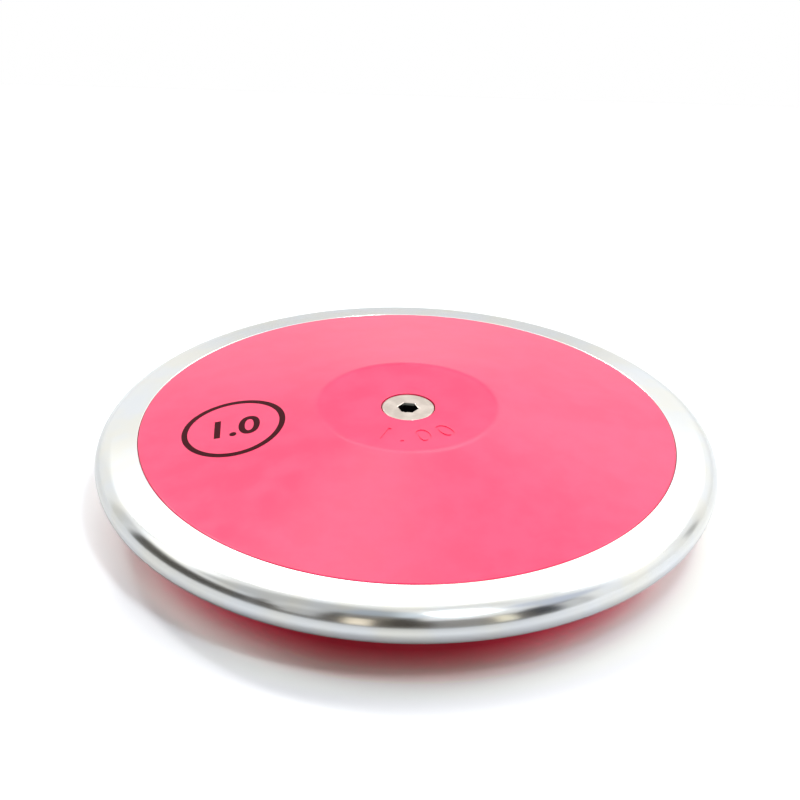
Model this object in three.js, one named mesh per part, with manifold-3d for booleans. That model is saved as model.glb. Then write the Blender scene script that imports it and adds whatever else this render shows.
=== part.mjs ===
// A one kilogram throwing discus, in millimetres, standing on its lower flat with +Z up.
// Two moulded side plates sit in a steel rim and are clamped by a bolt through a steel core.

import * as THREE from 'three';
import { mergeVertices } from 'three/addons/utils/BufferGeometryUtils.js';
import Module from 'manifold-3d';

const wasm = await Module();
wasm.setup();

// Whole discus
const discusDiameter = 181;
const discusThickness = 38;
const flatDiameter = 54;         // level centre of each side
const edgeRadius = 6.25;         // round of the outer edge
const fitGap = 0.3;              // between pieces that touch
const cutOverrun = 1;            // how far a cut runs past the face that it opens
const joinSink = 0.8;            // how far two shapes of one piece run into each other

// Rim
const rimWidth = 12.3;           // bright steel from the plate to the outer edge
const rimCornerBreak = 0.35;     // bevel where the rim's face meets the rebate
const tongueReach = 5;           // tongue that both plates sit on
const tongueThickness = 5;

// Side plates
const plateWall = 2.8;
const plateEdgeRound = 0.5;
const skirtWall = 4.6;           // outer wall that stands on the tongue
const recessCornerBreak = 0.35;
const bossWall = 4;              // round the recess of the bolt head
const bossFloor = 2.3;           // under the bolt head
const collarWall = 2;            // ring that centres the core
const collarGrip = 4;            // how far the collar reaches down the core
const ribWall = 1.8;
const ringRibRadius = 46;
const ribCount = 12;

// Bolt and barrel nut
const headDiameter = 15.1;
const headThickness = 3;
const headSink = 0.35;           // top of the head below the flat
const headBevel = 0.45;
const threadDiameter = 8;
const threadPitch = 1.25;
const threadDepthShare = 0.61;   // of the pitch
const barrelWall = 1;
const barrelReach = 7;           // end of the barrel above the middle plane
const neckDrop = 2;              // end of the bolt's plain neck above the barrel
const boltTipDrop = 6;           // end of the bolt below the middle plane
const boreBottomDrop = 7.5;      // end of the nut's thread below the middle plane
const socketWidth = 5;           // across the flats
const socketDepth = 4.5;
const socketBevel = 0.4;
const socketTurn = THREE.MathUtils.degToRad(4);

// Core and trim washers
const hubDiameter = 28.5;
const hubBevel = 0.8;
const washerThickness = 1.5;
const washerLand = 2.2;          // how far the plate's boss covers a washer
const washersPerEnd = 2;

// Dowel pins and felt ring
const pinDiameter = 2.5;
const pinGrip = 3.2;             // in each plate
const pinCount = 4;
const feltWidth = 22;
const feltThickness = 6;
const feltMargin = 3.2;          // from the tongue

// Facets
const rimSteps = 60;
const hubSteps = 40;
const headSteps = 32;
const pinSteps = 16;
const threadSteps = 12;
const threadRowsPerPitch = 4;
const edgeArcSteps = 10;
const smallArcSteps = 2;

// Outside shape: a level centre, then a straight taper that is tangent to the round edge
const outerRadius = discusDiameter / 2;
const halfThickness = discusThickness / 2;
const flatRadius = flatDiameter / 2;
const edgeCentreRadius = outerRadius - edgeRadius;
const taperRun = edgeCentreRadius - flatRadius;
const taperAngle = Math.atan2(halfThickness, taperRun)
  - Math.asin(edgeRadius / Math.hypot(taperRun, halfThickness));
const taperHeight = (radius) => halfThickness - (radius - flatRadius) * Math.tan(taperAngle);

// Radii, from the rim inwards
const rebateRadius = outerRadius - rimWidth;
const tongueInnerRadius = rebateRadius - tongueReach;
const tongueTop = tongueThickness / 2;
const plateRadius = rebateRadius - fitGap;
const skirtInnerRadius = plateRadius - skirtWall;
const pinCircleRadius = plateRadius - skirtWall / 2;
const pinRadius = pinDiameter / 2;
const feltOuterRadius = tongueInnerRadius - feltMargin;
const feltInnerRadius = feltOuterRadius - feltWidth;
const hubRadius = hubDiameter / 2;
const collarInnerRadius = hubRadius + fitGap;
const collarOuterRadius = collarInnerRadius + collarWall;
const headRadius = headDiameter / 2;
const recessRadius = headRadius + fitGap;
const bossRadius = recessRadius + bossWall;
const washerBoreRadius = bossRadius - washerLand;
const spigotRadius = washerBoreRadius - fitGap;
const threadRadius = threadDiameter / 2;
const threadDepth = threadPitch * threadDepthShare;
const barrelRadius = threadRadius + fitGap + barrelWall;
const boreRadius = barrelRadius + fitGap;

// Heights above the middle plane, from the outside inwards
const headTop = halfThickness - headSink;
const headSeat = headTop - headThickness;
const recessFloor = headSeat - fitGap;
const bossFoot = recessFloor - bossFloor;
const hubTop = bossFoot - fitGap;
const hubShoulder = hubTop - washersPerEnd * (washerThickness + fitGap);
const collarFoot = hubShoulder - collarGrip;
const plateSeat = tongueTop + fitGap;
const ribFoot = feltThickness / 2 + fitGap;
const ceiling = halfThickness - plateWall;
const taperWall = plateWall / Math.cos(taperAngle);
const neckEnd = barrelReach + neckDrop;

const point = (x, y) => new THREE.Vector2(x, y);
const mirroredBelow = (profile) => profile.map((p) => point(p.x, -p.y)).reverse();

function arc(centreX, centreY, radius, from, to, steps) {
  return Array.from({ length: steps + 1 }, (_, i) => {
    const angle = from + (to - from) * i / steps;
    return point(centreX + radius * Math.cos(angle), centreY + radius * Math.sin(angle));
  });
}

// A closed geometry with shared corners and no triangle of zero area
function weld(geometry) {
  geometry.deleteAttribute('normal');
  geometry.deleteAttribute('uv');
  const merged = mergeVertices(geometry);
  const index = merged.index.array;
  const kept = [];
  for (let i = 0; i < index.length; i += 3) {
    const [a, b, c] = index.slice(i, i + 3);
    if (a !== b && b !== c && c !== a) kept.push(a, b, c);
  }
  merged.setIndex(kept);
  return merged;
}

function solidOf(geometry) {
  const welded = weld(geometry);
  return new wasm.Manifold(new wasm.Mesh({
    numProp: 3,
    vertProperties: new Float32Array(welded.attributes.position.array),
    triVerts: new Uint32Array(welded.index.array),
  }));
}

function geometryOf(solid) {
  const mesh = solid.getMesh();
  const geometry = new THREE.BufferGeometry();
  geometry.setAttribute('position', new THREE.BufferAttribute(mesh.vertProperties, 3));
  geometry.setIndex(new THREE.BufferAttribute(mesh.triVerts, 1));
  geometry.computeVertexNormals();
  return geometry;
}

// A profile of radius and height, listed anticlockwise, turned round the Z axis
function turned(profile, steps) {
  return solidOf(new THREE.LatheGeometry(profile, steps).rotateX(Math.PI / 2));
}

function turnedRing(profile, steps) {
  return turned([...profile, profile[0]], steps);
}

function cylinder(radius, bottom, top, steps) {
  return turned([point(0, bottom), point(radius, bottom), point(radius, top), point(0, top)], steps);
}

const radialAngle = (index, count) => 2 * Math.PI * index / count;

// A rod whose radius rises and falls along a helix, so that its side is one screw thread with a tapered tip
function threadedRod(rootRadius, crestRadius, bottom, top) {
  const rows = Math.ceil((top - bottom) / threadPitch * threadRowsPerPitch);
  const positions = [0, 0, bottom];
  for (let row = 0; row <= rows; row += 1) {
    const height = bottom + (top - bottom) * row / rows;
    for (let step = 0; step < threadSteps; step += 1) {
      const angle = radialAngle(step, threadSteps);
      const turns = height / threadPitch - angle / (2 * Math.PI);
      const wave = 1 - Math.abs(2 * (turns - Math.floor(turns)) - 1);
      const tipLimit = rootRadius - threadDepth + (height - bottom);
      const radius = Math.min(rootRadius + (crestRadius - rootRadius) * wave, tipLimit);
      positions.push(radius * Math.cos(angle), radius * Math.sin(angle), height);
    }
  }
  positions.push(0, 0, top);
  const corner = (row, step) => 1 + row * threadSteps + step % threadSteps;
  const last = 1 + (rows + 1) * threadSteps;
  const index = [];
  for (let step = 0; step < threadSteps; step += 1) {
    index.push(0, corner(0, step + 1), corner(0, step));
    index.push(last, corner(rows, step), corner(rows, step + 1));
    for (let row = 0; row < rows; row += 1) {
      index.push(corner(row, step), corner(row, step + 1), corner(row + 1, step + 1));
      index.push(corner(row, step), corner(row + 1, step + 1), corner(row + 1, step));
    }
  }
  const geometry = new THREE.BufferGeometry();
  geometry.setAttribute('position', new THREE.Float32BufferAttribute(positions, 3));
  geometry.setIndex(index);
  return solidOf(geometry);
}

// A round hole at each pin, from bottom to top
function pinHoleCuts(bottom, top) {
  const hole = cylinder(pinRadius + fitGap, bottom, top, pinSteps);
  return pinPlaces().map((place) => hole.translate(place));
}

const cutAll = (solid, cuts) => cuts.reduce((rest, cut) => rest.subtract(cut), solid);
const joinAll = (solid, others) => others.reduce((whole, other) => whole.add(other), solid);

// The rim is one ring: a round edge, two tapered faces, a rebate for each plate and a tongue between them
function rimSolid() {
  const tangent = Math.PI / 2 - taperAngle;
  const breakRadius = rebateRadius + rimCornerBreak;
  const half = [
    point(breakRadius, taperHeight(breakRadius)),
    point(rebateRadius, taperHeight(rebateRadius) - rimCornerBreak),
    point(rebateRadius, tongueTop),
    point(tongueInnerRadius, tongueTop),
  ];
  const edge = arc(edgeCentreRadius, 0, edgeRadius, -tangent, tangent, edgeArcSteps);
  const ring = turnedRing([...edge, ...half, ...mirroredBelow(half)], rimSteps);
  const holeDepth = tongueTop + cutOverrun;
  return cutAll(ring, pinHoleCuts(-holeDepth, holeDepth));
}

// The pins stand between the ribs, as far from the X axis on either side of it
function pinPlaces() {
  return Array.from({ length: pinCount }, (_, i) => {
    const angle = radialAngle(i + 1 / 2, pinCount);
    return [pinCircleRadius * Math.cos(angle), pinCircleRadius * Math.sin(angle), 0];
  });
}

function ribPrism(shapePoints, wall) {
  const shape = new THREE.Shape(shapePoints);
  const geometry = new THREE.ExtrudeGeometry(shape, { depth: wall, bevelEnabled: false });
  return solidOf(geometry.translate(0, 0, -wall / 2).rotateX(Math.PI / 2));
}

function ribSolids() {
  const inner = collarOuterRadius - joinSink;
  const outer = skirtInnerRadius + joinSink;
  const outline = [
    point(inner, ribFoot),
    point(outer, ribFoot),
    point(outer, taperHeight(outer) - taperWall + joinSink),
    point(flatRadius, ceiling + joinSink),
    point(inner, ceiling + joinSink),
  ];
  const rib = ribPrism(outline, ribWall);
  return Array.from({ length: ribCount }, (_, i) => rib.rotate([0, 0, 360 * i / ribCount]));
}

function ringRibSolid() {
  const inner = ringRibRadius - ribWall / 2;
  const outer = ringRibRadius + ribWall / 2;
  return turnedRing([
    point(inner, ribFoot),
    point(outer, ribFoot),
    point(outer, taperHeight(outer) - taperWall + joinSink),
    point(inner, taperHeight(inner) - taperWall + joinSink),
  ], rimSteps);
}

// A side plate is a shallow dish with a boss and a collar in the middle, a skirt outside and ribs between
function sidePlateSolid() {
  const roundCentre = plateRadius - plateEdgeRound;
  const shell = turnedRing([
    point(boreRadius, bossFoot),
    point(bossRadius, bossFoot),
    point(bossRadius, ceiling),
    point(collarInnerRadius, ceiling),
    point(collarInnerRadius, collarFoot),
    point(collarOuterRadius, collarFoot),
    point(collarOuterRadius, ceiling),
    point(flatRadius - (taperWall - plateWall) / Math.tan(taperAngle), ceiling),
    point(skirtInnerRadius, taperHeight(skirtInnerRadius) - taperWall),
    point(skirtInnerRadius, plateSeat),
    point(plateRadius, plateSeat),
    ...arc(roundCentre, taperHeight(roundCentre) - plateEdgeRound / Math.cos(taperAngle),
      plateEdgeRound, 0, Math.PI / 2 - taperAngle, smallArcSteps),
    point(flatRadius, halfThickness),
    point(recessRadius + recessCornerBreak, halfThickness),
    point(recessRadius, halfThickness - recessCornerBreak),
    point(recessRadius, recessFloor),
    point(boreRadius, recessFloor),
  ], rimSteps);
  const ribbed = joinAll(shell, [...ribSolids(), ringRibSolid()]);
  return cutAll(ribbed, pinHoleCuts(plateSeat - cutOverrun, plateSeat + pinGrip + fitGap));
}

// The six-sided socket of a head whose top is at headTop
function socketCut() {
  const cornerRadius = socketWidth / 2 / Math.cos(Math.PI / 6);
  const bevelTop = headTop + cutOverrun;
  const hexagon = cylinder(cornerRadius, headTop - socketDepth, bevelTop, 6);
  const cone = turned([
    point(0, headTop - socketBevel),
    point(cornerRadius - socketBevel, headTop - socketBevel),
    point(cornerRadius + cutOverrun, bevelTop),
    point(0, bevelTop),
  ], headSteps);
  return hexagon.rotate([0, 0, THREE.MathUtils.radToDeg(socketTurn)]).add(cone);
}

// A flat bolt head on a plain round neck that ends at neckBottom
function headedNeck(neckBottom) {
  return turned([
    point(0, neckBottom),
    point(barrelRadius, neckBottom),
    point(barrelRadius, headSeat),
    point(headRadius, headSeat),
    point(headRadius, headTop - headBevel),
    point(headRadius - headBevel, headTop),
    point(0, headTop),
  ], headSteps);
}

function centreBoltSolid() {
  const thread = threadedRod(threadRadius - threadDepth, threadRadius, -boltTipDrop, neckEnd + joinSink);
  return headedNeck(neckEnd).add(thread).subtract(socketCut());
}

// The nut is the bolt's twin upside down, with a long hollow neck that takes the thread
function barrelNutSolid() {
  const body = headedNeck(-barrelReach).subtract(socketCut()).rotate([180, 0, 0]);
  const threadRoot = threadRadius - threadDepth;
  const boreTop = barrelReach + cutOverrun;
  return body.subtract(threadedRod(threadRoot + fitGap, threadRadius + fitGap, -boreBottomDrop, boreTop));
}

function hubCoreSolid() {
  const half = [
    point(hubRadius, hubShoulder - hubBevel),
    point(hubRadius - hubBevel, hubShoulder),
    point(spigotRadius, hubShoulder),
    point(spigotRadius, hubTop),
    point(boreRadius, hubTop),
  ];
  return turnedRing([...half, ...mirroredBelow(half)], hubSteps);
}

function plainRingSolid(innerRadius, ringOuterRadius, bottom, top, steps) {
  return turnedRing([
    point(innerRadius, bottom),
    point(ringOuterRadius, bottom),
    point(ringOuterRadius, top),
    point(innerRadius, top),
  ], steps);
}

function finish(color, roughness, metalness) {
  return new THREE.MeshStandardMaterial({ color, roughness, metalness });
}
const zincSteel = () => finish('#cfd6da', 0.16, 1);
const pinkPlastic = () => finish('#ff6f92', 0.22, 0);
const boltSteel = () => finish('#c9c4bd', 0.3, 1);
const coreSteel = () => finish('#8d8f92', 0.45, 1);
const greyFelt = () => finish('#6f6c69', 0.95, 0);

const discus = new THREE.Group();
discus.position.z = halfThickness;

function addPiece(name, solid, material) {
  const mesh = new THREE.Mesh(geometryOf(solid), material);
  mesh.name = name;
  discus.add(mesh);
  return mesh;
}

addPiece('rim', rimSolid(), zincSteel());
addPiece('upper_side_plate', sidePlateSolid(), pinkPlastic());
addPiece('lower_side_plate', sidePlateSolid(), pinkPlastic()).rotation.x = Math.PI;
addPiece('hub_core', hubCoreSolid(), coreSteel());
addPiece('centre_bolt', centreBoltSolid(), boltSteel());
addPiece('barrel_nut', barrelNutSolid(), boltSteel());
addPiece('felt_ring',
  plainRingSolid(feltInnerRadius, feltOuterRadius, -feltThickness / 2, feltThickness / 2, rimSteps),
  greyFelt());

for (const end of [0, 1]) {
  for (let i = 0; i < washersPerEnd; i += 1) {
    const bottom = hubShoulder + fitGap + i * (washerThickness + fitGap);
    const washer = plainRingSolid(washerBoreRadius, hubRadius, bottom, bottom + washerThickness, hubSteps);
    const name = `trim_washer_${end * washersPerEnd + i + 1}`;
    addPiece(name, washer, coreSteel()).rotation.x = end * Math.PI;
  }
}

pinPlaces().forEach((place, i) => {
  const pinEnd = plateSeat + pinGrip;
  const pin = cylinder(pinRadius, -pinEnd, pinEnd, pinSteps);
  addPiece(`dowel_pin_${i + 1}`, pin, coreSteel()).position.set(...place);
});

export default discus;
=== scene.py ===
# %% [markdown]
# # A one kilogram throwing discus
# A discus is a steel rim with a plastic plate on each side, clamped by one bolt through a steel core.
# The frame gives every piece its real size and place, and this lesson gives the pieces their finish.
# What shows is turned or moulded, so most shapes here are one outline carried round the axis.

# %% Load the frame
import math

import bmesh
import bpy
from mathutils import Matrix, Quaternion, Vector


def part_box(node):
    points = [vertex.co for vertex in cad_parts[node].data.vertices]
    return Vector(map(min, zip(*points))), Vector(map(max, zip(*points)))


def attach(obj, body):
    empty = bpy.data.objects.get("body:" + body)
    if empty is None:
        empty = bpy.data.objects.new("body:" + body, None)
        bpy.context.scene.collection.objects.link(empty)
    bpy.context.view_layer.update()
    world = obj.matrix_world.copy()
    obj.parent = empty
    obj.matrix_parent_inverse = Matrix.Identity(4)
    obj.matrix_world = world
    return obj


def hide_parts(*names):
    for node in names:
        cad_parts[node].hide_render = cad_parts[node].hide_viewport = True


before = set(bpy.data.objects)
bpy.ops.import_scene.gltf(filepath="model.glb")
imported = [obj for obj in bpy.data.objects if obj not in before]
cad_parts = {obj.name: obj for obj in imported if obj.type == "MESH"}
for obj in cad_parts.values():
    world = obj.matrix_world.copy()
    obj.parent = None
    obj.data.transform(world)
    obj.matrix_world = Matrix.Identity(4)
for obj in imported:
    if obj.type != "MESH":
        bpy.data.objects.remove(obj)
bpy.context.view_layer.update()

# %% [markdown]
# ## Sizes
# The large sizes are read from the frame, so that they can't drift from it. The small ones are the
# wall, gap and bevel sizes of the real pieces, in millimetres times MM. Heights are measured from
# the middle plane of the discus, because both sides are alike, and the pieces are lifted at the end.

# %% Sizes of the discus
MM = 0.001
rim_low, rim_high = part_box("rim")
plate_low, plate_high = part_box("upper_side_plate")
OUTER_RADIUS = (rim_high.x - rim_low.x) / 2
MIDDLE_HEIGHT = (rim_high.z + rim_low.z) / 2
HALF_THICKNESS = plate_high.z - MIDDLE_HEIGHT
PLATE_RADIUS = (plate_high.x - plate_low.x) / 2
FLAT_RADIUS = 26.2 * MM
EDGE_RADIUS = 6.25 * MM
FIT_GAP = 0.3 * MM

taper_run = OUTER_RADIUS - EDGE_RADIUS - FLAT_RADIUS
edge_turn = math.asin(EDGE_RADIUS / math.hypot(taper_run, HALF_THICKNESS))
TAPER_ANGLE = math.atan2(HALF_THICKNESS, taper_run) - edge_turn


def taper_height(radius):
    """Height of the tapered face above the middle plane."""
    return HALF_THICKNESS - (radius - FLAT_RADIUS) * math.tan(TAPER_ANGLE)


print("taper in degrees:", round(math.degrees(TAPER_ANGLE), 2))

# %% [markdown]
# ## Camera
# The picture was taken with a long lens from about a metre away and 30 degrees up, a little off level.
# The camera is placed by those four facts: how far, how high, which lens and how much roll. It looks
# at a point just behind the centre, which puts the discus a little below the middle of the frame.

# %% Camera
CAMERA_DISTANCE = 1.017
CAMERA_ELEVATION = math.radians(30.29)
CAMERA_ROLL = math.radians(1.6)
LENS_LENGTH = 157.2
SENSOR_WIDTH = 36
AIM_LEFT = 2.5 * MM
AIM_BEHIND = 37.7 * MM

camera_data = bpy.data.cameras.new("photo_camera")
camera_data.lens = LENS_LENGTH
camera_data.sensor_width = SENSOR_WIDTH
camera_data.clip_start = 10 * MM
camera = bpy.data.objects.new("photo_camera", camera_data)
bpy.context.scene.collection.objects.link(camera)
bpy.context.scene.camera = camera

centre = Vector((0, 0, MIDDLE_HEIGHT))
camera_back = Vector((0, -math.cos(CAMERA_ELEVATION), math.sin(CAMERA_ELEVATION)))
camera.location = centre + CAMERA_DISTANCE * camera_back
aim = centre + Vector((-AIM_LEFT, AIM_BEHIND, 0))
level = (aim - camera.location).to_track_quat("-Z", "Y")
camera.rotation_mode = "QUATERNION"
camera.rotation_quaternion = level @ Quaternion((0, 0, 1), CAMERA_ROLL)
bpy.context.scene.view_settings.view_transform = "Standard"
print("camera at", [round(v, 3) for v in camera.location])

# %% [markdown]
# ## Two helpers for every node tree
# Colours are written as the hex values that a paint chart or a picture gives, and turned to the linear
# values that a shader works in. Every node in this file is added by one function, which sets the node's
# properties and gives each input a value, an output of another node, or that node itself, which stands
# for the output that it has in use. The soft steps of all patterns are one kind, so its name is kept here.

# %% Colour and node helpers
SOFT = "SMOOTHSTEP"


def linear(hex_colour):
    """Linear RGBA of an sRGB hex colour such as #FF6C8F."""
    channels = [int(hex_colour[i:i + 2], 16) / 255 for i in (1, 3, 5)]
    return (*(c / 12.92 if c <= 0.04045 else ((c + 0.055) / 1.055) ** 2.4 for c in channels), 1)


def add(tree, kind, inputs=None, **settings):
    """Add one node to a tree, with its properties and its inputs."""
    node = tree.nodes.new(kind)
    for name, value in settings.items():
        setattr(node, name, value)
    for key, value in (inputs or {}).items():
        if isinstance(value, bpy.types.Node):
            value = next(output for output in value.outputs if output.enabled)
        if isinstance(value, bpy.types.NodeSocket):
            tree.links.new(value, node.inputs[key])
        else:
            node.inputs[key].default_value = value
    return node


# %% [markdown]
# ## Studio
# Polished steel has no colour of its own to show: it is a picture of the room. This room has soft panels
# high behind the table and above it, white walls at the sides, and a dark half on the viewer's side.
# Each panel is a patch of the sky with a centre, a half width and a soft edge, in degrees, and a
# brightness. Later panels are laid over earlier ones. The camera itself sees plain white.

# %% World
BASE_LEVEL = 0.86
# centre azimuth, half width, centre elevation, half height, soft edge, brightness, colour
PANELS = [
    ("low_walls", 157, 91, 5, 26, 8, 0.93, "#FFFFFF"),
    ("rear_left_glow", -160, 14, 17, 15, 8, 1.00, "#FFFFFF"),
    ("rear_right_glow", 152, 20, 22, 16, 10, 1.08, "#FFFFFF"),
    ("right_wall", 96, 12, 31, 22, 8, 1.06, "#FFFFFF"),
    ("rear_glow", 176, 66, 70, 9, 14, 1.12, "#FFFFFF"),
    ("right_zenith", 125, 33, 79, 9, 8, 0.74, "#FFFFFF"),
    ("rear_softbox", 142, 43, 46, 15, 3, 2.10, "#FFFFFF"),
    ("rear_softbox_seam", 163, 9, 48, 8, 6, 1.60, "#FFFFFF"),
    ("rear_right_mid", 160, 14, 31, 7, 5, 1.75, "#FFFFFF"),
    ("rear_left_low", -156, 24, 38, 11, 4, 1.22, "#FFFFFF"),
    ("rear_left_softbox", -156, 24, 58.5, 8.5, 3, 2.80, "#FFFFFF"),
    ("rear_strip", 179, 12, 42, 3, 3, 3.20, "#FFFFFF"),
    ("rear_dim", 180, 8, 20, 10, 6, 0.50, "#FFFFFF"),
    ("rear_foot", 180, 8, 3, 5, 6, 0.84, "#FFFFFF"),
    ("right_window", 120, 21, 42, 9, 6, 5.00, "#FFFFFF"),
    ("left_window", -142, 5, 47, 8, 3, 24.0, "#FFFFFF"),
    ("left_glow", -93.5, 23.5, 42, 12, 12, 1.40, "#FFFFFF"),
    ("left_ceiling", -48, 40, 58, 26, 14, 0.54, "#FFFFFF"),
    ("left_corner", -118, 6, 10, 16, 7, 0.66, "#FFFFFF"),
    ("left_room", -80, 28, 6, 18, 8, 0.08, "#F8F0E8"),
    ("front_wall", -7, 14, 40, 14, 6, 0.23, "#FFF6EC"),
    ("front_ceiling", -10, 20, 63, 13, 10, 0.50, "#E4F0FF"),
    ("front_room", 6, 60, 2, 31, 8, 0.11, "#FFF4EA"),
    ("left_screen", -42, 7, 36, 15, 4, 0.66, "#FFFFFF"),
    ("left_screen_foot", -36, 7, 20, 14, 6, 0.52, "#FFFFFF"),
    ("left_gap", -25, 3, 40, 9, 5, 0.05, "#FFFFFF"),
    ("left_lamp", -15, 4.5, 14, 16, 5, 1.08, "#FFF0D8"),
    ("front_shade", 1, 5, 22, 24, 5, 0.06, "#FFEFE2"),
    ("right_grey", 22, 11, 13, 19, 5, 0.28, "#FFF8F0"),
    ("right_lamp", 36, 3.5, 15, 15, 3, 1.00, "#FFF6DE"),
    ("right_shade", 51, 5, 19, 19, 4, 0.06, "#F0F2FF"),
    ("right_dusk", 68, 12, 48, 16, 6, 0.72, "#E8EFFF"),
    ("right_screen", 61, 5, 8, 20, 6, 0.64, "#FFFFFF"),
    ("right_stand", 119, 4, 7, 8, 5, 0.48, "#FFFFFF"),
    ("key_spill", 4, 6, 62, 14, 8, 0.85, "#E4F0FF"),
    ("key_softbox", 32, 15, 62.5, 9.5, 7, 3.2, "#EAF3FF"),
    ("key_lamp", 32, 8, 64, 4.5, 3, 38.0, "#EAF3FF"),
]

world = bpy.data.worlds.new("studio")
bpy.context.scene.world = world
world.use_nodes = True
sky = world.node_tree
sky.nodes.clear()
direction = add(sky, "ShaderNodeTexCoord").outputs["Generated"]
parts = add(sky, "ShaderNodeSeparateXYZ", {0: direction})
towards_viewer = add(sky, "ShaderNodeMath", {0: parts.outputs["Y"], 1: -1.0}, operation="MULTIPLY")
azimuth = add(sky, "ShaderNodeMath", {0: parts.outputs["X"], 1: towards_viewer}, operation="ARCTAN2")
elevation = add(sky, "ShaderNodeMath", {0: parts.outputs["Z"]}, operation="ARCSINE")


def band(angle, middle, half_width, soft):
    """1 inside a range of an angle and 0 outside it, with a soft edge. All in degrees."""
    away = add(sky, "ShaderNodeMath", {0: angle, 1: math.radians(middle)}, operation="SUBTRACT")
    turn = add(sky, "ShaderNodeMath", {0: away, 1: math.pi, 2: -math.pi}, operation="WRAP")
    size = add(sky, "ShaderNodeMath", {0: turn}, operation="ABSOLUTE")
    limits = {1: math.radians(half_width + soft / 2), 2: math.radians(half_width - soft / 2)}
    return add(sky, "ShaderNodeMapRange", {0: size, **limits}, interpolation_type=SOFT)


light = (BASE_LEVEL, BASE_LEVEL, BASE_LEVEL, 1)
for name, turn, half_turn, height, half_height, soft, level, colour in PANELS:
    across = band(azimuth, turn, half_turn, soft)
    upwards = band(elevation, height, half_height, soft)
    mask = add(sky, "ShaderNodeMath", {0: across, 1: upwards}, operation="MULTIPLY")
    glow = tuple(level * channel for channel in linear(colour)[:3]) + (1,)
    light = add(sky, "ShaderNodeMix", {"Factor": mask, 6: light, 7: glow}, data_type="RGBA")

room = add(sky, "ShaderNodeBackground", {"Color": light, "Strength": 1.0})
white = add(sky, "ShaderNodeBackground", {"Color": linear("#FFFFFF"), "Strength": 1.0})
seen = add(sky, "ShaderNodeLightPath").outputs["Is Camera Ray"]
backdrop = add(sky, "ShaderNodeMixShader", {0: seen, 1: room, 2: white})
add(sky, "ShaderNodeOutputWorld", {"Surface": backdrop})
print("panels:", len(PANELS))

# %% [markdown]
# ## Table
# The table is a small matt white board. The lamps alone would leave it light grey, and more light would
# burn out the discus, so only what the camera sees of it is lifted to white. The shadow keeps its depth,
# because the lift multiplies the light that falls there and adds none. A real room throws more light under
# the edge than these panels do, and much of it comes back pink from the lower plate, so a list of glows
# paints that light and shade onto the board there, tinting, lifting and deepening the shadow, each between
# limits of its own. The metal mirrors the board with painted light and shade of its own too, dark at the
# viewer's end and lighter toward the windows and close to the edge. Seen from below the board is clear, to
# the eye and to the light, so that the underside shows with no table.

# %% Floor
FLOOR_SIDE = 0.30
FLOOR_FRONT = -0.36
FLOOR_REAR = 0.30
FLOOR_LEVEL = -0.03 * MM    # just clear of the lower flat, so that the two aren't in one plane
FLOOR_SHOWN = 1.06          # how white the board is to the camera
FLOOR_BOUNCED = 0.90        # to light that it scatters
FLOOR_CAUGHT = 0.05         # to light that the metal throws back
# Painted light and shade in the metal: the board is mirrored dark at the viewer's end, and lighter near the
# discus, toward the windows and close to the edge.
FLOOR_FAR = 0.20            # in the metal, at the viewer's end
# how much more in the metal, and along which direction that starts and is full, in millimetres
MIRRORED_MORE = [
    ("near the discus", 0.36, ("Y", -340, -110)),
    ("toward the windows", 0.14, ("X + Y", -70, 60)),
    ("close to the edge", 0.10, ("radius", 135, 105)),
]
# how each glow is laid over the ones before it, its factors of red, green and blue, and its limits:
# a direction, where the glow starts and where it is full, in millimetres, and whether softly or evenly
EVEN = "LINEAR"
# Painted light and shade: each glow tints, lifts or deepens what the camera sees of the board near the
# discus.
PAINTED_GLOW_SIDE = (1.28, 1.28, 1.26)
PAINTED_GLOWS = [
    ("left", "MIX", (1.72, 1.68, 1.60), [("X", -84, -70, SOFT)]),
    ("front", "MIX", (0.98, 0.83, 0.75), [("X", -64, -12, SOFT)]),
    ("right", "MIX", (1.06, 1.03, 0.99), [("X", 12, 64, SOFT)]),
    ("none past the edge", "MIX", (1.00, 1.00, 1.00), [("radius", 83, 89.5, SOFT)]),
    ("inner right", "MULTIPLY", (1.45, 1.50, 1.50), [("X", 12, 50, SOFT), ("radius", 84, 78, SOFT)]),
    ("deepest red", "MULTIPLY", (0.80, 0.20, 0.32), [("Y", -12, -55, SOFT), ("radius", 80, 69.5, EVEN)]),
    ("side tail", "MULTIPLY", (1.15, 1.14, 1.13),
     [("X", -78, -86, SOFT), ("radius", 84, 88, SOFT), ("radius", 97, 91, SOFT)]),
    ("front tail", "MULTIPLY", (1.10, 1.12, 1.05),
     [("X", -74, -35, SOFT), ("radius", 84, 88, SOFT), ("radius", 97, 91, SOFT)]),
]

floor_mesh = bpy.data.meshes.new("table_top")
floor_corners = [(-FLOOR_SIDE, FLOOR_FRONT, FLOOR_LEVEL), (FLOOR_SIDE, FLOOR_FRONT, FLOOR_LEVEL),
                 (FLOOR_SIDE, FLOOR_REAR, FLOOR_LEVEL), (-FLOOR_SIDE, FLOOR_REAR, FLOOR_LEVEL)]
floor_mesh.from_pydata(floor_corners, [], [(0, 1, 2, 3)])
floor = bpy.data.objects.new("table_top", floor_mesh)
bpy.context.scene.collection.objects.link(floor)

floor_paint = bpy.data.materials.new("matt_white_board")
floor_paint.use_nodes = True
board = floor_paint.node_tree
board.nodes.clear()
where = add(board, "ShaderNodeTexCoord").outputs["Object"]
spot = add(board, "ShaderNodeSeparateXYZ", {0: where})
x, y = spot.outputs["X"], spot.outputs["Y"]
measured = {
    "X": x, "Y": y, "X + Y": add(board, "ShaderNodeMath", {0: x, 1: y}, operation="ADD"),
    "radius": add(board, "ShaderNodeVectorMath", {0: where}, operation="LENGTH")}

in_metal = FLOOR_FAR
for _, more, (along, begins, full) in MIRRORED_MORE:
    step = add(board, "ShaderNodeMapRange", {
        0: measured[along], 1: begins * MM, 2: full * MM, 4: more}, interpolation_type=SOFT)
    in_metal = add(board, "ShaderNodeMath", {0: step, 1: in_metal}, operation="ADD")

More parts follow.
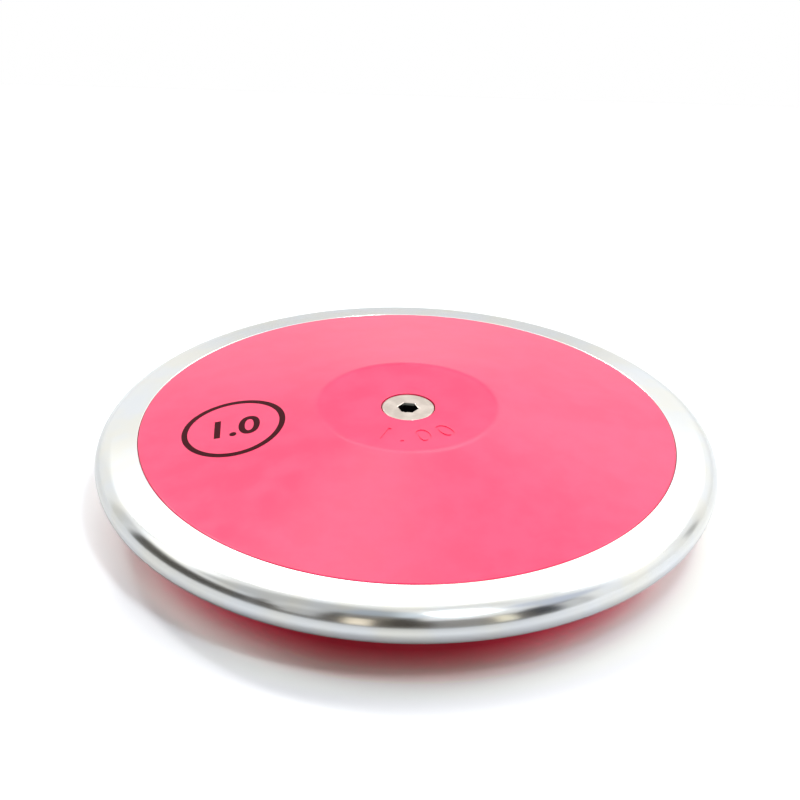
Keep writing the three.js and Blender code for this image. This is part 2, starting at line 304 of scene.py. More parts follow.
glow = (*PAINTED_GLOW_SIDE, 1)
for _, blend, factors, limits in PAINTED_GLOWS:
    weight = 1.0
    for along, begins, full, softness in limits:
        step = add(board, "ShaderNodeMapRange", {
            0: measured[along], 1: begins * MM, 2: full * MM}, interpolation_type=softness)
        weight = add(board, "ShaderNodeMath", {0: step, 1: weight}, operation="MULTIPLY")
    glow = add(board, "ShaderNodeMix", {
        0: weight, 6: glow, 7: (*factors, 1)}, data_type="RGBA", blend_type=blend)

path = add(board, "ShaderNodeLightPath")
scattered = add(board, "ShaderNodeMath", {0: path.outputs["Diffuse Depth"], 1: 1.0}, operation="MINIMUM")
from_metal = add(board, "ShaderNodeMix", {0: scattered, 2: in_metal, 3: FLOOR_CAUGHT})
unseen = add(board, "ShaderNodeMix", {0: path.outputs["Is Glossy Ray"], 2: FLOOR_BOUNCED, 3: from_metal})
shown = add(board, "ShaderNodeVectorMath", {0: glow, "Scale": FLOOR_SHOWN}, operation="SCALE")
whiteness = add(board, "ShaderNodeMix", {
    0: path.outputs["Is Camera Ray"], 6: unseen, 7: shown}, data_type="RGBA")
top = add(board, "ShaderNodeBsdfDiffuse", {"Color": whiteness})
clear = add(board, "ShaderNodeBsdfTransparent")
below = add(board, "ShaderNodeNewGeometry").outputs["Backfacing"]
seen_through = add(board, "ShaderNodeMath", {
    0: below, 1: path.outputs["Transparent Depth"]}, operation="MAXIMUM", use_clamp=True)
sided = add(board, "ShaderNodeMixShader", {0: seen_through, 1: top, 2: clear})
add(board, "ShaderNodeOutputMaterial", {"Surface": sided})
floor_mesh.materials.append(floor_paint)
print("glows on the board:", len(PAINTED_GLOWS))

# %% [markdown]
# ## Outlines with rounded corners
# A lathe or a mould leaves no perfectly sharp corner, and it is the small round that catches the light.
# So an outline is a list of corners, each with its radius, height and rounding, and this function puts
# an arc at each one. It also sets a point close to each arc on the straight stretch beside it: the
# smooth shading then ends there, and the flat stays flat.

# %% Outline helpers
SUPPORT = 0.25 * MM
BROAD_ROUND = 2 * MM
BROAD_STEP = math.radians(4)
FINE_STEP = math.radians(18)


def corner_reach(before, here, after):
    """The directions to both neighbours, the turn at a corner and how far its arc reaches along each side."""
    point, back, ahead = (Vector(c[:2]) for c in (here, before, after))
    back, ahead = (back - point).normalized(), (ahead - point).normalized()
    turn = math.pi - back.angle(ahead)
    return point, back, ahead, turn, here[2] * math.tan(turn / 2)


def rounded_outline(corners, closed=True):
    """Points of an outline whose corners are (radius, height, rounding). An open one keeps its two ends."""
    count = len(corners)
    ends = () if closed else (0, count - 1)
    places = [corner_reach(corners[i - 1], corners[i], corners[(i + 1) % count]) for i in range(count)]
    reach = [0 if i in ends else places[i][4] for i in range(count)]
    points = []
    for i, (point, back, ahead, turn, _) in enumerate(places):
        if i in ends:
            points.append(point)
            continue
        rounding = corners[i][2]
        free_back = (Vector(corners[i - 1][:2]) - point).length - reach[i] - reach[i - 1]
        free_ahead = (Vector(corners[(i + 1) % count][:2]) - point).length - reach[i] - reach[(i + 1) % count]
        middle = point + (back + ahead).normalized() * rounding / math.cos(turn / 2)
        spoke = point + back * reach[i] - middle
        side = 1 if back.cross(spoke) > 0 else -1
        steps = max(2, round(turn / (BROAD_STEP if rounding > BROAD_ROUND else FINE_STEP)))
        points.append(middle + spoke + back * min(SUPPORT, free_back / 3))
        for step in range(steps + 1):
            points.append(middle + Matrix.Rotation(side * turn * step / steps, 2) @ spoke)
        points.append(points[-1] + ahead * min(SUPPORT, free_ahead / 3))
    return points


def mirrored_below(corners):
    """The same corners under the middle plane, in the order that closes the outline."""
    return [(radius, -height, rounding) for radius, height, rounding in reversed(corners)]


# %% [markdown]
# ## Turning an outline
# A turned or moulded round piece follows one rule: an outline carried round the axis. Geometry Nodes does
# that with Curve to Mesh, a circle as the path and the outline as the profile. The profile's X points away
# from the axis and its Y points down. The tree's inputs are the path's radius, the number of steps round
# it and the material. The result is made a plain mesh.

# %% Turning tree
ROUND_STEPS = 300
WELD_REACH = 0.001 * MM
SLIVER = 0.0001 * MM


def new_tree(name, sockets):
    """A geometry node group with a geometry input and output and the named inputs, and its input node."""
    tree = bpy.data.node_groups.new(name, "GeometryNodeTree")
    tree.interface.new_socket("Geometry", in_out="INPUT", socket_type="NodeSocketGeometry")
    for socket_name, kind in sockets:
        tree.interface.new_socket(socket_name, in_out="INPUT", socket_type=kind)
    tree.interface.new_socket("Geometry", in_out="OUTPUT", socket_type="NodeSocketGeometry")
    return tree, add(tree, "NodeGroupInput")


def end_tree(tree, start, geometry):
    """Realize what the tree made, give it its material and put it out."""
    real = add(tree, "GeometryNodeRealizeInstances", {0: geometry})
    dressed = add(tree, "GeometryNodeSetMaterial", {0: real, "Material": start.outputs["Material"]})
    add(tree, "NodeGroupOutput", {0: dressed})


turn_tree, start = new_tree("turn_outline", [
    ("Path radius", "NodeSocketFloat"), ("Steps", "NodeSocketInt"), ("Material", "NodeSocketMaterial")])
outline_curve = add(turn_tree, "GeometryNodeMeshToCurve", {0: start.outputs["Geometry"]})
circle = add(turn_tree, "GeometryNodeCurvePrimitiveCircle", {
    "Resolution": start.outputs["Steps"], "Radius": start.outputs["Path radius"]})
swept = add(turn_tree, "GeometryNodeCurveToMesh", {"Curve": circle, "Profile Curve": outline_curve})
welded = add(turn_tree, "GeometryNodeMergeByDistance", {0: swept, "Distance": WELD_REACH})
end_tree(turn_tree, start, welded)


def run_tree(name, mesh, tree, values):
    """A new object that holds the plain mesh which the tree makes of the given mesh and input values."""
    piece = bpy.data.objects.new(name, mesh)
    bpy.context.scene.collection.objects.link(piece)
    modifier = piece.modifiers.new(tree.name, "NODES")
    modifier.node_group = tree
    for socket in tree.interface.items_tree:
        if socket.in_out == "INPUT" and socket.name in values:
            modifier[socket.identifier] = values[socket.name]
    return made_plain(piece)


def made_plain(piece):
    """Replace an object's mesh by what its modifiers make of it, with every face turned outwards."""
    evaluated = piece.evaluated_get(bpy.context.evaluated_depsgraph_get())
    mesh = bpy.data.meshes.new_from_object(evaluated)
    piece.modifiers.clear()
    piece.data = mesh
    work = bmesh.new()
    work.from_mesh(mesh)
    bmesh.ops.dissolve_degenerate(work, edges=work.edges, dist=SLIVER)
    bmesh.ops.recalc_face_normals(work, faces=work.faces)
    work.to_mesh(mesh)
    work.free()
    return piece


def turned(name, outline, material, closed=True, steps=ROUND_STEPS):
    """A piece whose outline of (radius, height) points is carried round the Z axis."""
    path_radius = sum(point[0] for point in outline) / len(outline)
    edges = [(i, i + 1) for i in range(len(outline) - 1)] + ([(len(outline) - 1, 0)] if closed else [])
    mesh = bpy.data.meshes.new(name)
    mesh.from_pydata([(point[0] - path_radius, -point[1], 0) for point in outline], edges, [])
    return run_tree(name, mesh, turn_tree, {"Path radius": path_radius, "Steps": steps, "Material": material})


def joined(piece, *others):
    """Add the meshes of other objects to a piece, and remove those objects."""
    work = bmesh.new()
    for source in (piece, *others):
        work.from_mesh(source.data)
    work.to_mesh(piece.data)
    work.free()
    for source in others:
        bpy.data.objects.remove(source)
    return piece


def cut(piece, cutter, material=None):
    """Take a cutter's solid out of a piece, and remove the cutter. The cut faces can have a material."""
    if material:
        cutter.data.materials.append(material)
    modifier = piece.modifiers.new("cut", "BOOLEAN")
    modifier.material_mode = "TRANSFER"
    modifier.operation = "DIFFERENCE"
    modifier.solver = "EXACT"
    modifier.object = cutter
    made_plain(piece)
    bpy.data.objects.remove(cutter)
    return piece


def prism(name, outline, bottom, top, spread=1.0):
    """A closed prism that stands on an outline of (x, y) points. Its top can be spread to a larger size."""
    count = len(outline)
    corners = [(x, y, bottom) for x, y in outline] + [(spread * x, spread * y, top) for x, y in outline]
    sides = [(i, (i + 1) % count, count + (i + 1) % count, count + i) for i in range(count)]
    mesh = bpy.data.meshes.new(name)
    mesh.from_pydata(corners, [], [tuple(range(count))[::-1], tuple(range(count, 2 * count)), *sides])
    piece = bpy.data.objects.new(name, mesh)
    bpy.context.scene.collection.objects.link(piece)
    return piece


def regular_outline(radius, count, turn=0.0):
    """The corners of a regular polygon."""
    angles = [turn + 2 * math.pi * i / count for i in range(count)]
    return [(radius * math.cos(angle), radius * math.sin(angle)) for angle in angles]


# %% [markdown]
# ## Bright zinc on steel
# The rim is turned steel, polished and plated with bright zinc, which a clear passivation leaves very
# slightly blue. It mirrors the room, but not as sharply as chrome: the plating has a fine haze. Two things
# break up the mirror: polishing rings that run round the rim, and faint clouds in the passivation.

# %% Zinc material
SPREAD = {1: 0.3, 2: 0.7}    # the limits that nearly all of a noise lies between
POLISH_RING = 0.35 * MM      # real ones are finer, and this is as fine as the picture can show
POLISH_ALONG = 1.5 * MM
POLISH_DEPTH = 0.004 * MM
PASSIVATION_CLOUD = 14 * MM
ZINC_BLUISH = "#E9EDF0"
ZINC_YELLOWISH = "#EDEDE6"
ZINC_CLEAR = 0.15
ZINC_HAZY = 0.19


def new_material(name):
    """A material with an empty tree, its tree and the object's own coordinates."""
    material = bpy.data.materials.new(name)
    material.use_nodes = True
    tree = material.node_tree
    tree.nodes.clear()
    return material, tree, add(tree, "ShaderNodeTexCoord").outputs["Object"]


def surface(tree, inputs):
    """Finish a material with its one shader, which has these inputs."""
    add(tree, "ShaderNodeOutputMaterial", {"Surface": add(tree, "ShaderNodeBsdfPrincipled", inputs)})


def ring_place(tree, place, along):
    """Coordinates for turning marks: distance from the axis, height, and the angle times a length.

    A mark is then as many times longer round the axis than across it as that length goes into the radius."""
    xyz = add(tree, "ShaderNodeSeparateXYZ", {0: place})
    flat = add(tree, "ShaderNodeCombineXYZ", {"X": xyz.outputs["X"], "Y": xyz.outputs["Y"]})
    radius = add(tree, "ShaderNodeVectorMath", {0: flat}, operation="LENGTH")
    angle = add(tree, "ShaderNodeMath", {0: xyz.outputs["Y"], 1: xyz.outputs["X"]}, operation="ARCTAN2")
    around = add(tree, "ShaderNodeMath", {0: angle, 1: along}, operation="MULTIPLY")
    return add(tree, "ShaderNodeCombineXYZ", {0: radius, 1: xyz.outputs["Z"], 2: around})


zinc, tree, place = new_material("bright_zinc_plated_steel")
cloud = add(tree, "ShaderNodeTexNoise", {"Vector": place, "Scale": 1 / PASSIVATION_CLOUD, "Detail": 2.0})
clouded = add(tree, "ShaderNodeMapRange", {0: cloud, **SPREAD}, interpolation_type=SOFT)
tint = add(tree, "ShaderNodeMix", {
    0: clouded, 6: linear(ZINC_BLUISH), 7: linear(ZINC_YELLOWISH)}, data_type="RGBA")
rings = add(tree, "ShaderNodeTexNoise", {
    "Vector": ring_place(tree, place, POLISH_ALONG), "Scale": 1 / POLISH_RING, "Detail": 3.0})
haze = add(tree, "ShaderNodeMapRange", {
    0: rings, **SPREAD, 3: ZINC_CLEAR, 4: ZINC_HAZY}, interpolation_type=SOFT)
bump = add(tree, "ShaderNodeBump", {"Height": rings, "Strength": 0.12, "Distance": POLISH_DEPTH})
around = add(tree, "ShaderNodeTangent", direction_type="RADIAL", axis="Z")
surface(tree, {
    "Base Color": tint, "Metallic": 1.0, "Roughness": haze, "Normal": bump,
    "Anisotropic": 0.75, "Anisotropic Rotation": 0.25, "Tangent": around})
print("zinc nodes:", len(tree.nodes))

# %% [markdown]
# ## Rim
# The rim is one ring of solid steel, about two thirds of the whole mass. Its outline is a round edge that
# runs into two straight tapers, a step on each side for the plates, and a tongue between them. The round
# edge is simply the corner where the tapers would meet, with a rounding of 6.25 mm.

# %% Rim
RIM_BREAK = 0.2 * MM
PLATE_GAP = 0.14 * MM    # closer than in the frame, as the photograph shows it
TONGUE_REACH = 5 * MM
TONGUE_TOP = 2.5 * MM
REBATE_RADIUS = PLATE_RADIUS + PLATE_GAP
TONGUE_RADIUS = REBATE_RADIUS - TONGUE_REACH
PIN_CIRCLE = PLATE_RADIUS - 2.3 * MM
PIN_HOLE = 1.55 * MM
PIN_HOLE_HEIGHT = 6.3 * MM
PIN_COUNT = 4
PIN_SIDES = 32

taper_meeting = FLAT_RADIUS + HALF_THICKNESS / math.tan(TAPER_ANGLE)
rim_half = [
    (REBATE_RADIUS, taper_height(REBATE_RADIUS), RIM_BREAK),
    (REBATE_RADIUS, TONGUE_TOP, RIM_BREAK),
    (TONGUE_RADIUS, TONGUE_TOP, RIM_BREAK),
]
rim_corners = [(taper_meeting, 0, EDGE_RADIUS), *rim_half, *mirrored_below(rim_half)]


def pin_holes(low, high):
    """The four round holes for the dowel pins, as one cutter."""
    cutters = [prism("pin_hole", regular_outline(PIN_HOLE, PIN_SIDES), low, high) for _ in range(PIN_COUNT)]
    for i, cutter in enumerate(cutters):
        angle = 2 * math.pi * (i + 0.5) / PIN_COUNT
        spot = Vector((math.cos(angle), math.sin(angle), 0)) * PIN_CIRCLE
        cutter.data.transform(Matrix.Translation(spot))
    return joined(*cutters)


rim = turned("rim_ring", rounded_outline(rim_corners), zinc)
cut(rim, pin_holes(-PIN_HOLE_HEIGHT, PIN_HOLE_HEIGHT))
print("rim faces:", len(rim.data.polygons))

# %% [markdown]
# ## Gloss ABS
# The plates are injection moulded in pink ABS, straight from a polished mould. The colour goes right
# through, the surface is a clear gloss with an index of 1.53, and it isn't quite level: it sinks a little
# as it cools, which makes soft uneven patches in what it mirrors. Use adds fine hairline scuffs, and a
# thin film of dust that pales it where it is seen at a low angle.

# %% Plastic material
SINK_PATCH = 24 * MM
SINK_DEPTH = 0.25 * MM
GRAIN_SIZE = 2.5 * MM        # orange peel of the mould, drawn coarse so that it shows
GRAIN_DEPTH = 0.01 * MM
SCUFF_PATCH = 9 * MM
PINK_BARE = "#FA2F61"
PINK_SCUFFED = "#FB3667"
GLOSS_BARE = 0.19
GLOSS_SCUFFED = 0.26

plastic, tree, place = new_material("gloss_pink_abs")
patch = add(tree, "ShaderNodeTexNoise", {"Vector": place, "Scale": 1 / SINK_PATCH, "Detail": 1.0})
scuff = add(tree, "ShaderNodeTexNoise", {"Vector": place, "Scale": 1 / SCUFF_PATCH, "Detail": 4.0})
grain = add(tree, "ShaderNodeTexNoise", {"Vector": place, "Scale": 1 / GRAIN_SIZE, "Detail": 1.0})
scuffed = add(tree, "ShaderNodeMapRange", {0: scuff, **SPREAD}, interpolation_type=SOFT)
pink = add(tree, "ShaderNodeMix", {
    0: scuffed, 6: linear(PINK_BARE), 7: linear(PINK_SCUFFED)}, data_type="RGBA")
gloss = add(tree, "ShaderNodeMapRange", {
    0: scuff, **SPREAD, 3: GLOSS_BARE, 4: GLOSS_SCUFFED}, interpolation_type=SOFT)
sunk = add(tree, "ShaderNodeBump", {"Height": patch, "Strength": 0.6, "Distance": SINK_DEPTH})
peel = add(tree, "ShaderNodeBump", {
    "Height": grain, "Strength": 0.2, "Distance": GRAIN_DEPTH, "Normal": sunk})
surface(tree, {
    "Base Color": pink, "Roughness": gloss, "IOR": 1.53, "Normal": peel,
    "Sheen Weight": 0.30, "Sheen Roughness": 0.3})
print("plastic nodes:", len(tree.nodes))

# %% [markdown]
# ## Side plates
# Both sides are the same moulding, a shallow dish with a boss, a collar, a ring rib and a skirt inside.
# The shell is one more turned outline. The twelve ribs repeat round the axis, so a second tree makes them
# from one, by placing a copy at each step of a turn.

# %% Plate outline
PLATE_WALL = 2.8 * MM
PLATE_EDGE_ROUND = 0.3 * MM
FLAT_EDGE_ROUND = 10 * MM    # the soft line where the level centre meets the taper
SKIRT_WALL = 4.6 * MM
HEAD_RADIUS = 7.55 * MM
HEAD_THICKNESS = 3 * MM
HEAD_SINK = 0.22 * MM
BOSS_WALL = 4 * MM
BOSS_FLOOR = 2.3 * MM
COLLAR_WALL = 2 * MM
COLLAR_FOOT = 5.45 * MM
RIB_WALL = 1.8 * MM
RIB_FOOT = 3.3 * MM
RIB_SINK = 0.8 * MM
RIB_COUNT = 12
RING_RIB_RADIUS = 46 * MM
BORE_RADIUS = 5.6 * MM
SMALL_ROUND = 0.25 * MM
RECESS_ROUND = 0.12 * MM
INNER_ROUND = 0.6 * MM

_, hub_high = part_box("hub_core")
collar_inner = hub_high.x + FIT_GAP
collar_outer = collar_inner + COLLAR_WALL
recess_radius = HEAD_RADIUS + FIT_GAP
recess_floor = HALF_THICKNESS - HEAD_SINK - HEAD_THICKNESS - FIT_GAP
boss_foot = recess_floor - BOSS_FLOOR
boss_radius = recess_radius + BOSS_WALL
ceiling = HALF_THICKNESS - PLATE_WALL
taper_wall = PLATE_WALL / math.cos(TAPER_ANGLE)
seat = TONGUE_TOP + FIT_GAP
skirt_inner = PLATE_RADIUS - SKIRT_WALL
inner_crease = FLAT_RADIUS - (taper_wall - PLATE_WALL) / math.tan(TAPER_ANGLE)


def under_skin(radius):
    """Height of the plate's inner face under the taper."""
    return taper_height(radius) - taper_wall


ring_inner = RING_RIB_RADIUS - RIB_WALL / 2
ring_outer = RING_RIB_RADIUS + RIB_WALL / 2
plate_corners = [
    (BORE_RADIUS, boss_foot, SMALL_ROUND),
    (boss_radius, boss_foot, SMALL_ROUND),
    (boss_radius, ceiling, INNER_ROUND),
    (collar_inner, ceiling, INNER_ROUND),
    (collar_inner, COLLAR_FOOT, SMALL_ROUND),
    (collar_outer, COLLAR_FOOT, SMALL_ROUND),
    (collar_outer, ceiling, INNER_ROUND),
    (inner_crease, ceiling, INNER_ROUND),
    (ring_inner, under_skin(ring_inner), INNER_ROUND),
    (ring_inner, RIB_FOOT, SMALL_ROUND),
    (ring_outer, RIB_FOOT, SMALL_ROUND),
    (ring_outer, under_skin(ring_outer), INNER_ROUND),
    (skirt_inner, under_skin(skirt_inner), INNER_ROUND),
    (skirt_inner, seat, SMALL_ROUND),
    (PLATE_RADIUS, seat, SMALL_ROUND),
    (PLATE_RADIUS, taper_height(PLATE_RADIUS), PLATE_EDGE_ROUND),
    (FLAT_RADIUS, HALF_THICKNESS, FLAT_EDGE_ROUND),
    (recess_radius, HALF_THICKNESS, RECESS_ROUND),
    (recess_radius, recess_floor, SMALL_ROUND),
    (BORE_RADIUS, recess_floor, SMALL_ROUND),
]

# %% Ribs
rib_tree, start = new_tree("repeat_round_axis", [
    ("Count", "NodeSocketInt"), ("Material", "NodeSocketMaterial")])
spots = add(rib_tree, "GeometryNodePoints", {"Count": start.outputs["Count"]})
step_turn = add(rib_tree, "ShaderNodeMath", {0: 2 * math.pi, 1: start.outputs["Count"]}, operation="DIVIDE")
number = add(rib_tree, "GeometryNodeInputIndex")
turn = add(rib_tree, "ShaderNodeMath", {0: number, 1: step_turn}, operation="MULTIPLY")
spin = add(rib_tree, "ShaderNodeCombineXYZ", {"Z": turn})
copies = add(rib_tree, "GeometryNodeInstanceOnPoints", {
    "Points": spots, "Instance": start.outputs["Geometry"], "Rotation": spin})
end_tree(rib_tree, start, copies)


def rib_ring(name):
    """All the ribs of one plate, each a thin upright wall from the collar to the skirt."""
    inner, outer = collar_outer - RIB_SINK, skirt_inner + RIB_SINK
    outline = [(inner, RIB_FOOT), (outer, RIB_FOOT), (outer, under_skin(outer) + RIB_SINK),
               (FLAT_RADIUS, ceiling + RIB_SINK), (inner, ceiling + RIB_SINK)]
    rib = prism(name, outline, -RIB_WALL / 2, RIB_WALL / 2)
    rib.data.transform(Matrix.Rotation(math.pi / 2, 4, "X"))
    mesh = rib.data
    bpy.data.objects.remove(rib)
    return run_tree(name, mesh, rib_tree, {"Count": RIB_COUNT, "Material": plastic})


# %% [markdown]
# ## Mass mark
# The mould leaves a plain number for the mass in kilograms, pressed into the flat and set on an arc round
# the bolt, with the tops of its digits towards the centre. It is cut here with a solid of each digit.

# %% Digits
MARK_DIGITS = [("1", -111.0), (".", -94.0), ("0", -74.5), ("0", -51.5)]
MARK_RADIUS = 17.1 * MM
MARK_HEIGHT = 6.8 * MM
MARK_DEPTH = 0.22 * MM
FONT_CAP_SHARE = 0.69        # height of a digit in the font, as a share of its size


def digit_solid(text, height, thickness, swell=0.0):
    """A solid of some digits, centred on height zero. Their strokes can be swelled or thinned."""
    curve = bpy.data.curves.new("digit", "FONT")
    curve.body = text
    curve.size = height / FONT_CAP_SHARE
    curve.align_x = "CENTER"
    curve.extrude = thickness / 2
    curve.offset = swell
    curve.resolution_u = 8
    piece = bpy.data.objects.new("digit", curve)
    bpy.context.scene.collection.objects.link(piece)
    mesh = bpy.data.meshes.new_from_object(piece.evaluated_get(bpy.context.evaluated_depsgraph_get()))
    bpy.data.objects.remove(piece)
    mesh.transform(Matrix.Translation((0, -height / 2, 0)))
    solid = bpy.data.objects.new("digit", mesh)
    bpy.context.scene.collection.objects.link(solid)
    return solid


def mark_cutter():
    """The digits of the mass mark, laid out on their arc at the level of the flat."""
    digits = []
    for text, degrees in MARK_DIGITS:
        angle = math.radians(degrees)
        digit = digit_solid(text, MARK_HEIGHT, 2 * MARK_DEPTH)
        place = Vector((math.cos(angle), math.sin(angle), 0)) * MARK_RADIUS + Vector((0, 0, HALF_THICKNESS))
        digit.data.transform(Matrix.Translation(place) @ Matrix.Rotation(angle + math.pi / 2, 4, "Z"))
        digits.append(digit)
    return joined(*digits)


# %% Plates
SHARP_ANGLE = math.radians(24)


def shaded(piece):
    """Smooth shading, with a hard line only where faces meet at more than SHARP_ANGLE."""
    piece.data.shade_smooth()
    piece.data.set_sharp_from_angle(angle=SHARP_ANGLE)
    return piece


def side_plate(name):
    """One moulding in the upper place, about the middle plane."""
    plate = turned(name, rounded_outline(plate_corners), plastic)
    cut(plate, pin_holes(-PIN_HOLE_HEIGHT, PIN_HOLE_HEIGHT))
    cut(plate, mark_cutter())
    return joined(plate, rib_ring("ribs"))


upper_plate = side_plate("side_plate_upper")
lower_plate = bpy.data.objects.new("side_plate_lower", upper_plate.data.copy())
bpy.context.scene.collection.objects.link(lower_plate)
lower_plate.data.transform(Matrix.Rotation(math.pi, 4, "X"))
print("plate faces:", len(upper_plate.data.polygons))

# %% [markdown]
# ## Turned bolt steel
# The bolt and its nut are turned from stainless steel. The tool leaves fine rings round the centre of the
# head, which blur what it mirrors more across than along them, so the face looks pale and soft. The socket's
# walls are painted nearly black as painted shade, with a painted light strip below the mouth of the rear
# wall.

# %% Bolt material
FACING_RING = 0.22 * MM      # the tool's feed, drawn a little coarse so that it shows
FACING_ALONG = 0.4 * MM
FACING_DEPTH = 0.012 * MM
STAIN_SIZE = 3 * MM
BOLT_DARK = "#BDB2A8"
BOLT_PALE = "#CDC2B8"
BOLT_SMOOTH = 0.30
BOLT_DULL = 0.42

bolt_steel, tree, place = new_material("turned_stainless_steel")
rings = add(tree, "ShaderNodeTexNoise", {
    "Vector": ring_place(tree, place, FACING_ALONG), "Scale": 1 / FACING_RING, "Detail": 2.0})
stain = add(tree, "ShaderNodeTexNoise", {"Vector": place, "Scale": 1 / STAIN_SIZE, "Detail": 2.0})
stained = add(tree, "ShaderNodeMapRange", {0: stain, **SPREAD}, interpolation_type=SOFT)
grey = add(tree, "ShaderNodeMix", {0: stained, 6: linear(BOLT_DARK), 7: linear(BOLT_PALE)}, data_type="RGBA")
dulled = add(tree, "ShaderNodeMapRange", {
    0: rings, **SPREAD, 3: BOLT_SMOOTH, 4: BOLT_DULL}, interpolation_type=SOFT)
bump = add(tree, "ShaderNodeBump", {"Height": rings, "Strength": 0.5, "Distance": FACING_DEPTH})
surface(tree, {"Base Color": grey, "Metallic": 1.0, "Roughness": dulled, "Normal": bump})

# %% Socket painted shade material
PAINTED_LIGHT_TO = 0.85 * MM        # how far below the flat the painted light strip is full, and where it fades out
PAINTED_LIGHT_END = 1.2 * MM
REAR_WALL_FROM = 2.3 * MM    # the painted light strip is on the wall behind the axis, past these
REAR_WALL = 2.5 * MM

socket_painted_shade, tree, place = new_material("painted_shade_in_socket")
xyz = add(tree, "ShaderNodeSeparateXYZ", {0: place})
from_middle = add(tree, "ShaderNodeMath", {0: xyz.outputs["Z"], 1: MIDDLE_HEIGHT}, operation="SUBTRACT")
away = add(tree, "ShaderNodeMath", {0: from_middle}, operation="ABSOLUTE")
mouth = add(tree, "ShaderNodeMapRange", {
    0: away, 1: HALF_THICKNESS - PAINTED_LIGHT_END, 2: HALF_THICKNESS - PAINTED_LIGHT_TO}, interpolation_type=SOFT)
rear_wall = add(tree, "ShaderNodeMapRange", {
    0: xyz.outputs["Y"], 1: REAR_WALL_FROM, 2: REAR_WALL}, interpolation_type=SOFT)
painted_light = add(tree, "ShaderNodeMath", {0: mouth, 1: rear_wall}, operation="MULTIPLY")
# Painted shade: black deep in the socket. Painted light: grey on the rear wall just below the mouth.
painted_shade_and_light = add(tree, "ShaderNodeMix", {0: painted_light, 6: linear("#0A0808"), 7: linear("#9A9C92")}, data_type="RGBA")
surface(tree, {"Base Color": painted_shade_and_light, "Roughness": 0.6, "Specular IOR Level": 0.2})
print("rubbed from", round(PAINTED_LIGHT_TO / MM, 2), "to", round(PAINTED_LIGHT_END / MM, 2), "mm below the flat")

# %% [markdown]
# ## Bolt and barrel nut
# Both have the same flat round head with a hexagon socket for a 5 mm key, which wear has opened a little.
# The bolt's shank screws into the nut's hollow barrel. The thread is a small triangle carried along a
# spiral, again with Curve to Mesh, and the spiral's normals are kept level so that it doesn't twist.

# %% Thread tree
SPIRAL_STEPS = 40

thread_tree, start = new_tree("thread", [
    ("Radius", "NodeSocketFloat"), ("Pitch", "NodeSocketFloat"), ("Turns", "NodeSocketFloat"),
    ("Bottom", "NodeSocketFloat"), ("Start angle", "NodeSocketFloat"), ("Material", "NodeSocketMaterial")])
rise = add(thread_tree, "ShaderNodeMath", {
    0: start.outputs["Pitch"], 1: start.outputs["Turns"]}, operation="MULTIPLY")
spiral = add(thread_tree, "GeometryNodeCurveSpiral", {
    "Resolution": SPIRAL_STEPS, "Rotations": start.outputs["Turns"], "Start Radius": start.outputs["Radius"],
    "End Radius": start.outputs["Radius"], "Height": rise, "Reverse": True})
upright = add(thread_tree, "GeometryNodeSetCurveNormal", {0: spiral}, mode="Z_UP")
tooth = add(thread_tree, "GeometryNodeMeshToCurve", {0: start.outputs["Geometry"]})
ridge = add(thread_tree, "GeometryNodeCurveToMesh", {
    "Curve": upright, "Profile Curve": tooth, "Fill Caps": True})
lift = add(thread_tree, "ShaderNodeCombineXYZ", {"Z": start.outputs["Bottom"]})
spin = add(thread_tree, "ShaderNodeCombineXYZ", {"Z": start.outputs["Start angle"]})
placed = add(thread_tree, "GeometryNodeTransform", {0: ridge, "Translation": lift, "Rotation": spin})
end_tree(thread_tree, start, placed)

# %% Heads and shanks
THREAD_RADIUS = 4 * MM
THREAD_PITCH = 1.25 * MM
THREAD_DEPTH = 0.61 * THREAD_PITCH
THREAD_SINK = 0.1 * MM
THREAD_TURNS = 10
THREAD_BOTTOM = -5 * MM
BARREL_RADIUS = BORE_RADIUS - FIT_GAP
BARREL_REACH = 7 * MM
NECK_END = BARREL_REACH + 2 * MM
BOLT_TIP = -6 * MM
NUT_BOTTOM = -7.5 * MM
HEAD_BEVEL = 0.16 * MM
SOCKET_SIDES = 6
SOCKET_WIDTH = 5.3 * MM
SOCKET_DEPTH = 4.5 * MM
SOCKET_BEVEL = 0.22 * MM     # how far the bevel of the mouth spreads
SOCKET_BEVEL_DEPTH = 0.107 * MM
SOCKET_TURN = math.radians(-6)
NICK_RADIUS = 0.45 * MM
NICK_ANGLE = math.radians(-105)
NICK_STEPS = 8
HEAD_STEPS = 128

head_top = HALF_THICKNESS - HEAD_SINK
head_seat = head_top - HEAD_THICKNESS
thread_root = THREAD_RADIUS - THREAD_DEPTH
socket_corner = SOCKET_WIDTH / 2 / math.cos(math.pi / SOCKET_SIDES)
head_corners = [
    (BARREL_RADIUS, head_seat, SMALL_ROUND),
    (HEAD_RADIUS, head_seat, SMALL_ROUND),
    (HEAD_RADIUS, head_top - HEAD_BEVEL, THREAD_SINK),
    (HEAD_RADIUS - HEAD_BEVEL, head_top, THREAD_SINK),
    (0, head_top, 0),
]


def socket_cut(piece):
    """Cut the six-sided socket, the bevel of its mouth and the small nick that a slipping key left."""
    hexagon = regular_outline(socket_corner, SOCKET_SIDES, SOCKET_TURN)
    cut(piece, prism("socket", hexagon, head_top - SOCKET_DEPTH, 2 * head_top), socket_painted_shade)
    spread = 1 + 2 * SOCKET_BEVEL / socket_corner
    bevel = prism("bevel", hexagon, head_top - SOCKET_BEVEL_DEPTH, head_top + SOCKET_BEVEL_DEPTH, spread)
    cut(piece, bevel, bolt_steel)
    slopes = [math.pi * (step / NICK_STEPS - 0.5) for step in range(NICK_STEPS + 1)]
    half_circle = [(NICK_RADIUS * math.cos(slope), NICK_RADIUS * math.sin(slope)) for slope in slopes]
    nick = turned("nick", half_circle, bolt_steel, False, 2 * NICK_STEPS)
    edge = Vector((math.cos(NICK_ANGLE), math.sin(NICK_ANGLE), 0)) * SOCKET_WIDTH / 2
    nick.data.transform(Matrix.Translation(edge + Vector((0, 0, head_top))))
    return cut(piece, nick)


